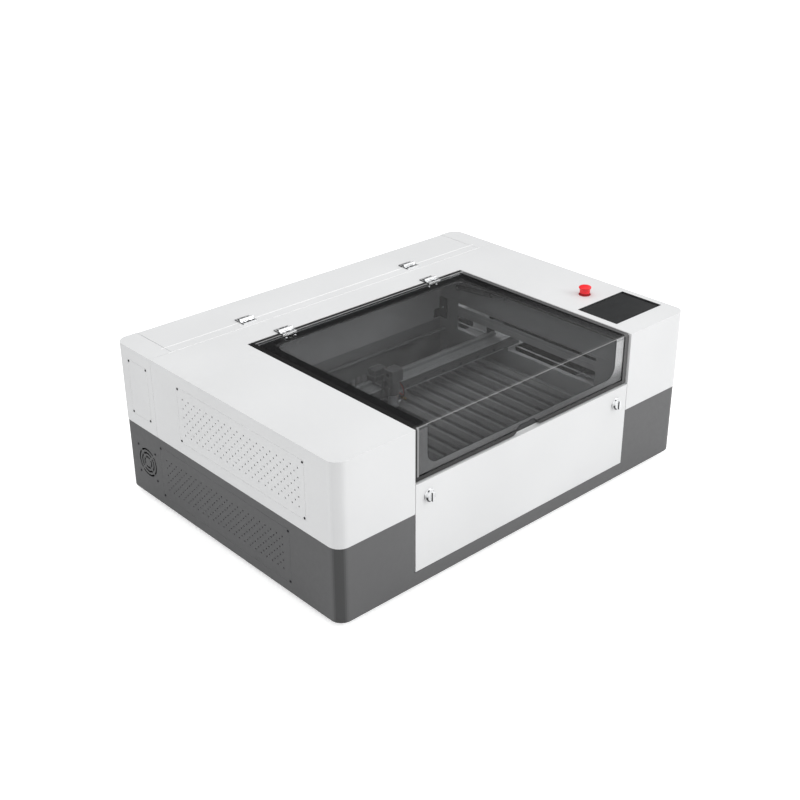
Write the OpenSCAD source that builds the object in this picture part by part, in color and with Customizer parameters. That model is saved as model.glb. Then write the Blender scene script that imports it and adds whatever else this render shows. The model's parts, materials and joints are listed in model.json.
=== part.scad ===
// Desktop laser engraver: two-tone sheet-metal cabinet, smoked lid, drop-down front door,
// rear tube compartment, X/Y gantry and lifting slat table.
// Frame: origin on the floor under the centre of the cabinet, +X right, -Y front, +Z up.

/* [Cabinet] */
// Width of the cabinet
body_w = 1100; // [1090:5:1120]
// Depth of the cabinet
body_d = 790; // [780:5:810]
// Height of the cabinet above its feet
body_h = 377; // [375:1:385]
// Height of the lower case, from the cabinet's underside to the seam
base_h = 180; // [178:1:182]
// Radius of the four upright corners
corner_r = 29; // [24:1:34]
// Thickness of the steel sheet
sheet = 1.5; // [1.2:0.1:1.6]
// How far the lower case stands in from the upper case
base_inset = 1.2; // [0.8:0.1:1.5]
// Height of the rubber feet
foot_h = 14; // [12:1:20]
// Radius of the rubber feet
foot_r = 20; // [16:1:24]
// Distance between feet, side to side
foot_pitch_x = 940; // [900:10:960]
// Distance between feet, front to back
foot_pitch_y = 630; // [600:10:640]
// Radius of the bolt hole through each foot
foot_bolt_r = 3.3; // [2.7:0.1:4.5]

/* [Lid] */
// Width of the opening the lid lies in
lid_open_w = 684; // [680:1:688]
// Distance from the cabinet's front to the back of the lid opening
lid_open_d = 562; // [558:1:566]
// Gap between lid and cabinet
lid_gap = 3; // [2:0.5:4]
// How far the lid's front face stands back from the cabinet's front
lid_setback = 5; // [4:0.5:7]
// Width of the lid frame around the clear window
lid_border = 39; // [34:1:44]
// Width of the bare metal rim around the acrylic sheet
lid_rim = 12; // [8:1:14]
// Thickness of the acrylic sheet
acrylic_t = 4; // [3:0.5:5]
// Outer bend radius of the acrylic sheet
lid_bend_r = 8; // [6:1:12]
// Half width of the finger notch at its mouth
notch_half = 44; // [36:1:50]

/* [Front door] */
// Width of the front door
door_w = 680.8; // [676:0.2:681]
// Height of the door's lower edge above the floor
door_low = 50; // [49:0.5:52]
// Height of the door's upper edge above the floor
door_high = 262.5; // [258:0.5:263]
// Depth of the door's folded edges
door_fold = 17; // [14:0.5:17]
// Distance of each door knob from the centre line
knob_x = 302.5; // [290:0.5:306]
// Height of the door knobs above the floor
knob_z = 224.6; // [216:0.2:230]

/* [Tube cover] */
// Width of the rear tube cover
cover_w = 982; // [970:1:984]
// Height of the tube cover's lower edge above the floor
cover_low = 262; // [240:1:280]
// Distance from the tube cover's hinge line to the cabinet's front
cover_hinge_d = 673; // [671:1:675]

/* [Motion] */
// Place of the laser head along the gantry
head_x = -63; // [-200:1:200]
// Place of the gantry's middle, front to back
gantry_y = 23.5; // [-60:0.5:60]
// Height of the slat table's top above the floor
table_top = 188; // [170:1:190]
// Number of slats in the table
slat_count = 16; // [12:1:16]
// Height of the laser's path above the floor
beam_z = 291; // [289:1:293]

/* [Hidden] */
$fn = 48;

// cabinet planes
half_w = body_w / 2;
half_d = body_d / 2;
pan_z = foot_h + 2;
seam_z = foot_h + base_h;
top_z = foot_h + body_h;
past = 1;
fit_gap = 0.4;
run_gap = 0.05;
base_hw = half_w - base_inset;
base_hd = half_d - base_inset;
split_y = 247.6;
split_gap = 0.6;

// lid
open_hw = lid_open_w / 2;
open_back = lid_open_d - half_d;
lid_hw = open_hw - lid_gap;
lid_front = lid_setback - half_d;
lid_back = open_back - lid_gap + 0.5;
lid_low = door_high + lid_gap;
frame_t = 2;
glass_hw = lid_hw - lid_rim;
glass_back = lid_back - lid_rim;
glass_low = lid_low + lid_rim - 2.8;
window_hw = lid_hw - lid_border;
window_back = lid_back - 44;
window_low = glass_low + 16;
window_r = 29;
skirt_depth = 19;
fold_depth = 20;

// hinges
leaf_t = 3;
leaf_len = 18;
leaf_w = 40;
knuckle_r = 4;
pin_r = 1.5;
axis_z = top_z + knuckle_r + 0.6;
lid_axis_y = open_back - 1;
cover_axis_y = cover_hinge_d - half_d;
lid_hinge_x = 233;
cover_hinge_x = 263;

// front door
door_hw = door_w / 2;
door_axis_y = 4 - half_d;
door_axis_z = door_low + 4;
door_pin_r = 2;
sill_z = door_low - 2;
knob_r = 15;
knob_shaft_r = 6;
cam_low = 44;

// rear compartment
cover_hw = cover_w / 2;
cover_gap = 1.2;
strip_front = split_y + 2;
tube_y = 306;
tube_r = 25;
tube_left = -370;
tube_right = 480;
shelf_z = seam_z + fold_depth + 2;
fan_y = 304.4;
fan_z = 104;
fan_pitch = 71.5;
spigot_r = 50;
inlet_x = 420;
inlet_z = 80;

// side panels: [y low, y high, z low, z high]
vent_upper = [-297, 147, 223, 360];
vent_lower = [-237, 244.5, 38.2, 171];
tube_end = [267.2, 345.3, 223, 359.7];
seat_lip = 8;
panel_t = 1.5;
hole_r = 2;
upper_grid = [19, 5];
upper_pitch = 22.4;
lower_grid = [23, 5];
lower_pitch = 19.6;
screw_r = 2;
screw_inset = 3.9;

// display and stop button
screen = [362, 533, -334.5, -214.6];
screen_depth = 4.5;
stop_x = 449;
stop_y = -163.5;

// chamber and gantry
wall_x = 344;
wall_front = -360;
bulkhead_y = 242;
slot_low = 210;
slot_high = 274;
slot_front = -345;
slot_back = 208;
rail_x = 362;
y_belt_x = rail_x + 20;
rail_top = 213;
beam_low = 220;
beam_high = 250;
beam_half = 25.5;
ray_y = -20;
focus_r = 12;
turn_x = 430;
shaft_y = 224;
shaft_z = 206;
shaft_r = 5;
idler_y = -340;
rail_front = -350;
rail_back = 205;
x_belt_z = 240;
x_belt_y = gantry_y + beam_half + 2;
x_idler_x = -370;
x_motor_x = 388;
x_rail_y = 36;

// struts
strut_x = 322;
strut_base = [lid_axis_y - 15, axis_z - 44];
strut_tip = [lid_axis_y - 180, axis_z - 26];
strut_run = strut_tip - strut_base;
strut_len = norm(strut_run);
strut_tilt = atan2(-strut_run[0], strut_run[1]);
stud_r = 3;

// table
table_hw = 325;
table_front = -290;
table_back = 150;
bar = 20;
slat_w = 20;
slat_h = 8;
slat_seat = 12;
slat_pitch = 40;
lift_x = 300;
lift_front = table_front - 15;
lift_back = table_back + 15;
screw_thread_r = 4;
belt_r = 9;
belt_t = 1.4;
belt_z = 22;

// A solid box between two corners
module span(lo, hi) {
    translate(lo) cube(hi - lo);
}

// Round bars along each axis, from the first coordinate to the second
module bar_x(x0, x1, y, z, r) {
    translate([x0, y, z]) rotate([0, 90, 0]) cylinder(r = r, h = x1 - x0);
}

module bar_y(y0, y1, x, z, r) {
    translate([x, y0, z]) rotate([-90, 0, 0]) cylinder(r = r, h = y1 - y0);
}

module bar_z(z0, z1, x, y, r) {
    translate([x, y, z0]) cylinder(r = r, h = z1 - z0);
}

// The children and their mirror image across the centre plane
module both_sides() {
    children();
    mirror([1, 0, 0]) children();
}

// Rectangle with round corners, centred
module rounded(w, d, r) {
    square([w - 2 * r, d], center = true);
    square([w, d - 2 * r], center = true);
    for (sx = [-1, 1], sy = [-1, 1])
        translate([sx * (w / 2 - r), sy * (d / 2 - r)]) circle(r);
}

// Ring of sheet that follows a rounded rectangle
module wall_ring(w, d, r, z0, z1, t) {
    translate([0, 0, z0]) linear_extrude(z1 - z0) difference() {
        rounded(w, d, r);
        rounded(w - 2 * t, d - 2 * t, r - t);
    }
}

// Plate with a rounded outline
module rounded_plate(w, d, r, z0, z1) {
    translate([0, 0, z0]) linear_extrude(z1 - z0) rounded(w, d, r);
}

// Extrusion along X of an outline drawn in Y and Z
module along_x(x0, x1) {
    translate([x0, 0, 0]) rotate([90, 0, 90]) linear_extrude(x1 - x0) children();
}

// Extrusion along Y of an outline drawn in X and Z
module along_y(y0, y1) {
    translate([0, y1, 0]) rotate([90, 0, 0]) linear_extrude(y1 - y0) children();
}

// Opening in the left wall for a panel, and the lip that the panel is screwed to
module seat_cut(p, x_wall) {
    span([x_wall - past, p[0] - fit_gap, p[2] - fit_gap],
         [x_wall + sheet, p[1] + fit_gap, p[3] + fit_gap]);
}

module seat_ledge(p, x_wall) {
    difference() {
        span([x_wall + sheet, p[0] - seat_lip, p[2] - seat_lip],
             [x_wall + 2 * sheet, p[1] + seat_lip, p[3] + seat_lip]);
        span([x_wall, p[0] + seat_lip, p[2] + seat_lip],
             [x_wall + past + 2 * sheet, p[1] - seat_lip, p[3] - seat_lip]);
        at_corners(p) bar_x(x_wall, x_wall + past + 2 * sheet, 0, 0, screw_r);
    }
}

module at_corners(p) {
    for (y = [p[0] + screw_inset, p[1] - screw_inset], z = [p[2] + screw_inset, p[3] - screw_inset])
        translate([0, y, z]) children();
}

module at_fan_screws() {
    for (sy = [-1, 1], sz = [-1, 1])
        translate([0, fan_y + sy * fan_pitch / 2, fan_z + sz * fan_pitch / 2]) children();
}

// Three rings of arc slots, parted by spokes on the diagonals
module grille_outline() {
    for (r = [14, 24, 34]) difference() {
        circle(r + 2.3);
        circle(r - 2.3);
        for (a = [45, 135]) rotate(a) square([90, 5], center = true);
    }
}

module lower_case() {
    color("dimgray") difference() {
        union() {
            wall_ring(2 * base_hw, 2 * base_hd, corner_r - base_inset, foot_h, seam_z, sheet);
            wall_ring(2 * base_hw - sheet, 2 * base_hd - sheet, corner_r - base_inset - sheet / 2,
                      pan_z, pan_z + sheet, fold_depth);
            both_sides() seat_ledge(vent_lower, -base_hw);
            both_sides() span([open_hw, -base_hd, sill_z],
                              [open_hw + sheet, fold_depth - base_hd, seam_z]);
            span([-open_hw - sheet, -base_hd, sill_z - sheet],
                 [open_hw + sheet, fold_depth - base_hd, sill_z]);
        }
        span([-open_hw, -half_d - past, sill_z], [open_hw, fold_depth + past - base_hd, seam_z + past]);
        both_sides() seat_cut(vent_lower, -base_hw);
        at_fan_screws() bar_x(-half_w, -base_hw + sheet + past, 0, 0, screw_r);
        translate([0, fan_y, fan_z]) along_x(-half_w, -base_hw + sheet + past) grille_outline();
        both_sides() bar_x(open_hw - past, open_hw + sheet + past, door_axis_y, door_axis_z, door_pin_r);
        bar_y(base_hd - sheet - past, half_d, 0, fan_z, spigot_r);
        inlet_box(base_hd - sheet - past, half_d, 24, 28);
        at_hoses() bar_y(base_hd - sheet - past, half_d, 0, 0, 7);
    }
}

// Floor pan with a bearing for each lift screw
module base_plate() {
    inset = sheet + fit_gap;
    color("darkgray") difference() {
        union() {
            rounded_plate(2 * (base_hw - inset), 2 * (base_hd - inset), corner_r - base_inset - inset,
                          foot_h, pan_z);
            at_lift() bar_z(foot_h, belt_z - 1, 0, 0, belt_r);
        }
        at_feet() cylinder(r = foot_bolt_r, h = foot_h * 3);
        at_lift() bar_z(pan_z - 1, belt_z, 0, 0, screw_thread_r + run_gap);
    }
}

module at_feet() {
    for (sx = [-1, 1], sy = [-1, 1])
        translate([sx * foot_pitch_x / 2, sy * foot_pitch_y / 2, 0]) children();
}

module at_lift() {
    for (x = [-lift_x, lift_x], y = [lift_front, lift_back]) translate([x, y, 0]) children();
}

module feet() {
    color("black") at_feet() rotate_extrude()
        polygon([[foot_bolt_r, 0], [foot_r - 1.5, 0], [foot_r, 1.5], [foot_r - 2, foot_h],
                 [foot_bolt_r, foot_h]]);
}

module upper_case() {
    color("white") difference() {
        union() {
            wall_ring(body_w, body_d, corner_r, seam_z, top_z, sheet);
            rounded_plate(body_w, body_d, corner_r, top_z - sheet, top_z);
            seat_ledge(vent_upper, -half_w);
            both_sides() {
                span([open_hw, -half_d + sheet / 2, seam_z],
                     [open_hw + sheet, fold_depth - half_d, top_z - sheet]);
                span([open_hw, -half_d + sheet, top_z - fold_depth],
                     [open_hw + sheet, open_back + sheet, top_z - sheet / 2]);
            }
            span([-open_hw - sheet, open_back, top_z - fold_depth],
                 [open_hw + sheet, open_back + sheet, top_z - sheet / 2]);
            span([-half_w + sheet, split_y - sheet, seam_z],
                 [half_w - sheet, split_y, seam_z + fold_depth]);
        }
        span([-half_w - past, split_y, seam_z - past], [half_w + past, half_d + past, top_z + past]);
        span([-open_hw, -half_d - past, seam_z - past], [open_hw, open_back, top_z + past]);
        seat_cut(vent_upper, -half_w);
        span([screen[0], screen[2], top_z - sheet - past], [screen[1], screen[3], top_z + past]);
        bar_z(top_z - sheet - past, top_z + past, stop_x, stop_y, 11);
    }
}

module rear_housing() {
    front = split_y + split_gap;
    color("white") difference() {
        union() {
            wall_ring(body_w, body_d, corner_r, seam_z, top_z, sheet);
            rounded_plate(body_w, body_d, corner_r, top_z - sheet, top_z);
            both_sides() seat_ledge(tube_end, -half_w);
        }
        span([-half_w - past, -half_d - past, seam_z - past], [half_w + past, front, top_z + past]);
        span([-cover_hw - cover_gap, front - past, top_z - sheet - past],
             [cover_hw + cover_gap, half_d + past, top_z + past]);
        span([-cover_hw - cover_gap, half_d - sheet - past, cover_low - cover_gap],
             [cover_hw + cover_gap, half_d + past, top_z + past]);
        both_sides() seat_cut(tube_end, -half_w);
    }
}

module hinge_strip() {
    back = cover_axis_y - 0.8;
    color("white") {
        span([-cover_hw, strip_front, top_z - sheet], [cover_hw, back, top_z]);
        span([-cover_hw - 10, strip_front, top_z - 2 * sheet], [cover_hw + 10, back, top_z - sheet]);
    }
}

// Upright partitions beside the work area, each with a slot for the gantry and a strut stud
module chamber_walls() {
    high = top_z - fold_depth - 2;
    color("gray") both_sides() difference() {
        union() {
            span([wall_x, wall_front, pan_z], [wall_x + sheet, bulkhead_y, high]);
            span([wall_x, wall_front, pan_z], [wall_x + 12, wall_front + sheet, high]);
            bar_x(wall_x, wall_x + 8, shaft_y, shaft_z, 12);
            bar_x(strut_x - 6, wall_x, strut_base[0], strut_base[1], stud_r);
        }
        span([wall_x - past, slot_front, slot_low], [wall_x + 2 * sheet, slot_back, slot_high]);
        span([wall_x - past, slot_front, beam_z - 10], [wall_x + 2 * sheet, slot_back, beam_z + 10]);
        bar_x(wall_x - past, wall_x + 9, shaft_y, shaft_z, shaft_r + run_gap);
    }
}

module rear_bulkhead() {
    color("gray") difference() {
        span([-base_hw + 10, bulkhead_y, pan_z + sheet], [base_hw - 10, bulkhead_y + sheet, top_z - sheet]);
        bar_y(bulkhead_y - past, bulkhead_y + 3, -turn_x, beam_z, 12);
        for (i = [-7:7])
            span([18 * i - 6, bulkhead_y - past, 45], [18 * i + 6, bulkhead_y + 3, 150]);
    }
}

// Panel with a staggered grid of round holes, centred on the panel; count is [columns, rows]
module perforated_panel(p, x, count, pitch) {
    first = [(p[0] + p[1] - (count[0] - 1) * pitch) / 2, (p[2] + p[3] - (count[1] - 1) * pitch) / 2];
    along_x(x, x + panel_t) difference() {
        translate([p[0], p[2]]) square([p[1] - p[0], p[3] - p[2]]);
        for (k = [0, 1], i = [0:count[0] - 1 - k], j = [0:count[1] - 1 - k])
            translate([first[0] + (i + k / 2) * pitch, first[1] + (j + k / 2) * pitch])
                circle(hole_r, $fn = 20);
        for (y = [p[0] + screw_inset, p[1] - screw_inset], z = [p[2] + screw_inset, p[3] - screw_inset])
            translate([y, z]) circle(screw_r);
    }
}

module upper_vent_panel() {
    color("white") perforated_panel(vent_upper, -half_w, upper_grid, upper_pitch);
}

module lower_vent_panels() {
    color("dimgray") both_sides() perforated_panel(vent_lower, -base_hw, lower_grid, lower_pitch);
}

module tube_end_covers() {
    color("white") both_sides() difference() {
        span([-half_w, tube_end[0], tube_end[2]], [-half_w + panel_t, tube_end[1], tube_end[3]]);
        at_corners(tube_end) bar_x(-half_w - past, -half_w + panel_t + past, 0, 0, screw_r);
    }
}

// Button-head screw along +X with a socket in its head
module panel_screw(x) {
    translate([x, 0, 0]) rotate([0, 90, 0]) rotate_extrude()
        polygon([[0, 8], [screw_r, 8], [screw_r, 0], [3, 0], [2.4, -0.9], [1.2, -0.9],
                 [1.2, -0.2], [0, -0.2]]);
}

module panel_screws() {
    color("black") {
        at_corners(vent_upper) panel_screw(-half_w);
        both_sides() at_corners(vent_lower) panel_screw(-base_hw);
        both_sides() at_corners(tube_end) panel_screw(-half_w);
        at_fan_screws() panel_screw(-base_hw);
    }
}

module display_housing() {
    color("black") difference() {
        union() {
            screen_block(-fit_gap, top_z - 26, top_z);
            screen_block(8, top_z - 4 - sheet, top_z - sheet);
        }
        screen_block(-2, top_z - screen_depth, top_z + past);
        screen_block(-8, top_z - 24, top_z);
    }
}

// Block with the outline of the display, grown on every side
module screen_block(grow, low, high) {
    span([screen[0] - grow, screen[2] - grow, low], [screen[1] + grow, screen[3] + grow, high]);
}

module display_glass() {
    low = top_z - screen_depth;
    color([0.12, 0.13, 0.14]) screen_block(-2 - fit_gap, low, low + 1.6);
}

// One leaf of a butterfly hinge on the top face. dir is +1 when the leaf lies behind the axis.
module hinge_leaf(x, axis_y, dir, fixed) {
    step = leaf_w / 5;
    bore = fixed ? pin_r : pin_r + run_gap;
    first = fixed ? 0 : 1;
    translate([x, axis_y, 0]) mirror([0, dir > 0 ? 0 : 1, 0]) difference() {
        union() {
            span([-leaf_w / 2, knuckle_r + 0.6, top_z], [leaf_w / 2, leaf_len, top_z + leaf_t]);
            for (i = [first:2:4]) {
                low = -leaf_w / 2 + i * step + 0.15;
                high = low + step - 0.3;
                bar_x(low, high, 0, axis_z, knuckle_r);
                span([low, 0, top_z], [high, knuckle_r + 1, top_z + leaf_t]);
            }
        }
        bar_x(-leaf_w, leaf_w, 0, axis_z, bore);
        span([-6.5, 8, top_z + 1.2], [6.5, 15, top_z + leaf_t + past]);
        for (sx = [-1, 1]) translate([sx * 13, 11.5, top_z + 1.2]) cylinder(r = 3.4, h = leaf_t);
    }
}

module fixed_hinge_leaves() {
    color("silver") both_sides() {
        hinge_leaf(lid_hinge_x, lid_axis_y, 1, true);
        hinge_leaf(cover_hinge_x, cover_axis_y, -1, true);
    }
}

module hinge_pins() {
    color("silver") both_sides() {
        for (h = [[lid_hinge_x, lid_axis_y], [cover_hinge_x, cover_axis_y]])
            bar_x(h[0] - leaf_w / 2 - 0.4, h[0] + leaf_w / 2 + 0.4, h[1], axis_z, pin_r);
        bar_x(door_hw - 6, open_hw + sheet + 0.6, door_axis_y, door_axis_z, door_pin_r);
    }
}

module lid_hinge_leaves() {
    color("silver") both_sides() hinge_leaf(lid_hinge_x, lid_axis_y, -1, false);
}

module cover_hinge_leaves() {
    color("silver") both_sides() hinge_leaf(cover_hinge_x, cover_axis_y, 1, false);
}

module estop_body() {
    color("black") {
        difference() {
            union() {
                bar_z(top_z, top_z + 1.2, stop_x, stop_y, 15);
                bar_z(top_z - 22, top_z + 5, stop_x, stop_y, 10.8);
                bar_z(top_z - sheet - 5, top_z - sheet, stop_x, stop_y, 14.5);
                span([stop_x - 15, stop_y - 15, top_z - 60], [stop_x + 15, stop_y + 15, top_z - 21]);
            }
            bar_z(top_z - 34, top_z + 9, stop_x, stop_y, 6 + run_gap);
        }
    }
}

module estop_plunger() {
    color("gray") {
        bar_z(top_z - 28, top_z + 9, stop_x, stop_y, 6);
        bar_z(top_z + 8, top_z + 16, stop_x, stop_y, 4);
    }
}

// Flared mushroom head, hollow below so that it drops over the collar
module estop_head() {
    color("red") translate([stop_x, stop_y, top_z]) rotate_extrude()
        polygon([[0, 22.4], [9, 22], [14, 20.8], [15.5, 19.6], [15.7, 18.4], [14.4, 16.6], [13.3, 14],
                 [12.9, 11], [12.9, 5.4], [11.4, 5.4], [11.4, 10], [4 + run_gap, 10],
                 [4 + run_gap, 16.5], [0, 16.5]]);
}

// Square axial fan body around an axis through the origin, along Z
module fan_body(size, depth, bore, pitch, hub) {
    difference() {
        translate([0, 0, depth / 2]) cube([size, size, depth], center = true);
        translate([0, 0, -past]) cylinder(r = bore, h = depth + 2 * past);
        for (sx = [-1, 1], sy = [-1, 1])
            translate([sx * pitch / 2, sy * pitch / 2, -past]) cylinder(r = 2.15, h = depth + 2 * past);
    }
    difference() {
        union() {
            cylinder(r = hub + 1, h = 3);
            for (a = [45:90:315]) rotate(a) span([hub, -2.5, 0], [bore + 1, 2.5, 3]);
        }
        translate([0, 0, -past]) cylinder(r = 3, h = 6);
    }
}

// Seven pitched blades on a hub
module fan_rotor(tip, hub, low, high) {
    translate([0, 0, low]) cylinder(r = hub, h = high - low);
    translate([0, 0, low]) cylinder(r = 3 - run_gap, h = high - low + 3);
    blade = high - low - 4;
    for (i = [0:6]) rotate(i * 360 / 7) translate([0, 0, (low + high) / 2]) rotate([38, 0, 0])
        span([hub - 2, -1, -blade / 2], [tip, 1, blade / 2]);
}

module at_intake() {
    translate([-base_hw + sheet, fan_y, fan_z]) rotate([0, 90, 0]) children();
}

module at_exhaust() {
    translate([0, base_hd - sheet, fan_z]) rotate([90, 0, 0]) children();
}

module intake_fan_frame() {
    color("black") at_intake() translate([0, 0, 25]) mirror([0, 0, 1])
        fan_body(80, 25, 38, fan_pitch, 15);
}

module intake_fan_rotor() {
    color("dimgray") at_intake() fan_rotor(36.5, 16, 2, 21);
}

module exhaust_fan_frame() {
    color("black") at_exhaust() translate([0, 0, 38]) mirror([0, 0, 1]) fan_body(120, 38, 57, 105, 22);
}

module exhaust_fan_rotor() {
    color("dimgray") at_exhaust() fan_rotor(55, 24, 2, 34);
}

module exhaust_spigot() {
    color("lightgray") difference() {
        union() {
            bar_y(base_hd, base_hd + 40, 0, fan_z, spigot_r);
            bar_y(base_hd, base_hd + 2, 0, fan_z, spigot_r + 12);
        }
        bar_y(base_hd - past, base_hd + 41, 0, fan_z, spigot_r - sheet);
        for (a = [45:90:315]) translate([0, 0, fan_z]) rotate([0, a, 0])
            bar_y(base_hd - past, base_hd + 3, spigot_r + 6, 0, 1.7);
    }
}

module power_inlet() {
    color("black") difference() {
        union() {
            inlet_box(base_hd, base_hd + 2.5, 28, 32);
            inlet_box(base_hd - 28, base_hd, 23, 27);
        }
        span([inlet_x - 14, base_hd - 14, inlet_z - 22], [inlet_x + 14, base_hd + 4, inlet_z - 2]);
        span([inlet_x - 12, base_hd - 13, inlet_z + 4], [inlet_x + 12, base_hd + 4, inlet_z + 24]);
        rocker_pivot(13.4, 1.5 + run_gap);
    }
    color("silver") for (dx = [-7, 0, 7])
        span([inlet_x + dx - 1, base_hd - 15, inlet_z - 15],
             [inlet_x + dx + 1, base_hd - 2, inlet_z - 9]);
}

// Box around the mains inlet's centre, given by its half width and half height
module inlet_box(y0, y1, hw, hh) {
    span([inlet_x - hw, y0, inlet_z - hh], [inlet_x + hw, y1, inlet_z + hh]);
}

module power_rocker() {
    color("red") {
        along_x(inlet_x - 11.4, inlet_x + 11.4) translate([base_hd - 3, inlet_z + 14])
            polygon([[-5, -8], [2, -8.6], [4.2, -8.4], [2.6, 0], [4.2, 8.4], [2, 8.6], [-5, 8]]);
        rocker_pivot(13, 1.5);
    }
}

module rocker_pivot(half, r) {
    bar_x(inlet_x - half, inlet_x + half, base_hd - 3, inlet_z + 14, r);
}

module at_hoses() {
    for (i = [0:2]) translate([-430 + 60 * i, 0, 120]) children();
}

// Two water barbs and one air barb, each with a hex flange
module hose_fittings() {
    color("goldenrod") at_hoses() difference() {
        union() {
            bar_y(base_hd - 18, base_hd + 3, 0, 0, 6.6);
            translate([0, base_hd, 0]) rotate([-90, 0, 0]) cylinder(r = 11, h = 6, $fn = 6);
            for (j = [0:3]) translate([0, base_hd + 6 + 5 * j, 0]) rotate([-90, 0, 0])
                cylinder(r1 = 5.2, r2 = 4.2, h = 5);
        }
        bar_y(base_hd - 20, base_hd + 30, 0, 0, 2.6);
    }
}

module laser_tube() {
    color([0.8, 0.9, 0.95, 0.5]) {
        bar_x(tube_left + 12, tube_right - 12, tube_y, beam_z, tube_r);
        bar_x(tube_left, tube_right, tube_y, beam_z, 12);
        for (x = [tube_left + 60, tube_right - 60])
            bar_z(beam_z + tube_r - 3, beam_z + tube_r + 14, x, tube_y, 4);
    }
}

// Split ring and pedestal at each end of the tube
module tube_holders() {
    color("dimgray") for (x = [tube_left + 120, tube_right - 140]) difference() {
        union() {
            bar_x(x, x + 20, tube_y, beam_z, tube_r + 8);
            span([x, tube_y - 22, shelf_z + 6], [x + 20, tube_y + 22, beam_z - 20]);
            span([x - 15, bulkhead_y + sheet, shelf_z], [x + 35, tube_y + 34, shelf_z + 6]);
        }
        bar_x(x - past, x + 21, tube_y, beam_z, tube_r);
        span([x - past, tube_y - 1, beam_z + 20], [x + 21, tube_y + 1, beam_z + 40]);
    }
}

// Mirror in a square mount that turns a ray by a right angle; turn is its heading about Z
module mirror_mount(x, y, turn) {
    translate([x, y, beam_z]) rotate([0, 0, turn]) {
        difference() {
            translate([0, 3.5, 0]) cube([36, 8, 36], center = true);
            bar_y(-1.5, 5, 0, 0, 10);
        }
        bar_y(0, 5.5, 0, 0, 9.8);
        translate([0, 10.5, 0]) cube([36, 4, 36], center = true);
        for (s = [[-13, -13], [13, -13], [-13, 13]]) bar_y(7, 23, s[0], s[1], 3);
    }
}

module mirror_one() {
    color("goldenrod") {
        mirror_mount(-turn_x, tube_y, 45);
        difference() {
            span([-turn_x - 26, tube_y - 8, shelf_z + 5], [-turn_x + 4, tube_y + 36, beam_z - 16]);
            span([-turn_x - 20, tube_y - 9, shelf_z + 12], [-turn_x - 2, tube_y + 37, beam_z - 26]);
        }
        span([-turn_x - 40, bulkhead_y + sheet, shelf_z], [-turn_x + 10, tube_y + 40, shelf_z + 6]);
    }
}

module mirror_two() {
    color("goldenrod") {
        mirror_mount(-turn_x, ray_y, 135);
        span([-turn_x - 10, ray_y - 34, beam_low + 3], [-turn_x + 10, ray_y - 8, beam_z - 16]);
    }
}

// Aluminium profile with a steel rail on top and the belt's front idler, outside each chamber wall
module y_rails() {
    color("lightgray") both_sides() difference() {
        union() {
            span([wall_x + sheet, rail_front, rail_top - 38], [rail_x + 14, rail_back, rail_top - 8]);
            span([rail_x - 6, rail_front, rail_top - 9], [rail_x + 6, rail_back, rail_top]);
            bar_x(rail_x + 5, y_belt_x + 7, idler_y, shaft_z, 2.5);
            bar_x(y_belt_x - 0.4, y_belt_x + 6.4, idler_y, shaft_z, belt_r - 0.2);
        }
        for (s = [-1, 1]) translate([rail_x + s * 6.6, 0, rail_top - 4]) rotate([0, 45, 0])
            span([-1.2, rail_front - past, -1.2], [1.2, rail_back + past, 1.2]);
    }
}

module gantry_carriages() {
    color("gray") {
        both_sides() difference() {
            span([rail_x - 14, gantry_y - 30, rail_top - 7], [rail_x + 14, gantry_y + 30, beam_low]);
            span([rail_x - 6 - fit_gap, gantry_y - 31, rail_top - 8],
                 [rail_x + 6 + fit_gap, gantry_y + 31, rail_top + fit_gap]);
        }
        span([-turn_x - 16, ray_y - 38, beam_low], [-wall_x - 6, gantry_y + 30, beam_low + 3]);
        span([wall_x + 6, gantry_y - 30, beam_low], [wall_x + 62, gantry_y + 71, beam_low + 3]);
        bar_y(gantry_y + beam_half, x_belt_y + 7, x_idler_x, x_belt_z, 2.5);
        bar_y(x_belt_y, x_belt_y + 6, x_idler_x, x_belt_z, belt_r - 1.2);
    }
}

// Hollow beam with a long groove in its top face
module gantry_beam() {
    color("lightgray") along_x(-395, 395) difference() {
        depth = 2 * beam_half;
        height = beam_high - beam_low - 3;
        translate([gantry_y - beam_half, beam_low + 3]) square([depth, height]);
        translate([gantry_y - beam_half + 3, beam_low + 6]) square([depth - 6, height - 6]);
        translate([gantry_y - beam_half + 7, beam_high - 1]) square([6, 2]);
    }
}

module x_rail() {
    color("silver") difference() {
        span([-340, x_rail_y - 6, beam_high], [340, x_rail_y + 6, beam_high + 8]);
        for (i = [-11:11]) bar_z(beam_high - past, beam_high + 9, 30 * i, x_rail_y, 1.8);
    }
}

// Flat belt loop around two pulleys, as an outline
module belt_outline(a, b, r) {
    difference() {
        belt_fill(a, b, r + belt_t);
        belt_fill(a, b, r);
    }
}

module belt_fill(a, b, r) {
    translate([a, 0]) circle(r);
    translate([b, 0]) circle(r);
    translate([a, -r]) square([b - a, 2 * r]);
}

module x_belt() {
    color("black") translate([0, 0, x_belt_z]) along_y(x_belt_y, x_belt_y + 6)
        belt_outline(x_idler_x, x_motor_x, belt_r - 1);
}

// Small stepper motor with its shaft along +Z, shaft end at the origin
module stepper(size, length, shaft) {
    translate([0, 0, -shaft - length]) difference() {
        translate([-size / 2, -size / 2, 0]) cube([size, size, length]);
        for (a = [45:90:315]) rotate(a) span([size * 0.66, -5, -past], [size, 5, length + past]);
    }
    translate([0, 0, -shaft - 0.5]) cylinder(r = size / 4, h = 2);
    translate([0, 0, -shaft]) cylinder(r = 2.5, h = shaft);
}

module x_motor() {
    color("dimgray") translate([x_motor_x, x_belt_y, x_belt_z]) rotate([90, 0, 0]) {
        translate([0, 0, -6.5]) cylinder(r = belt_r - 1.2, h = 7);
        stepper(34, 34, 8);
    }
}

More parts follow.
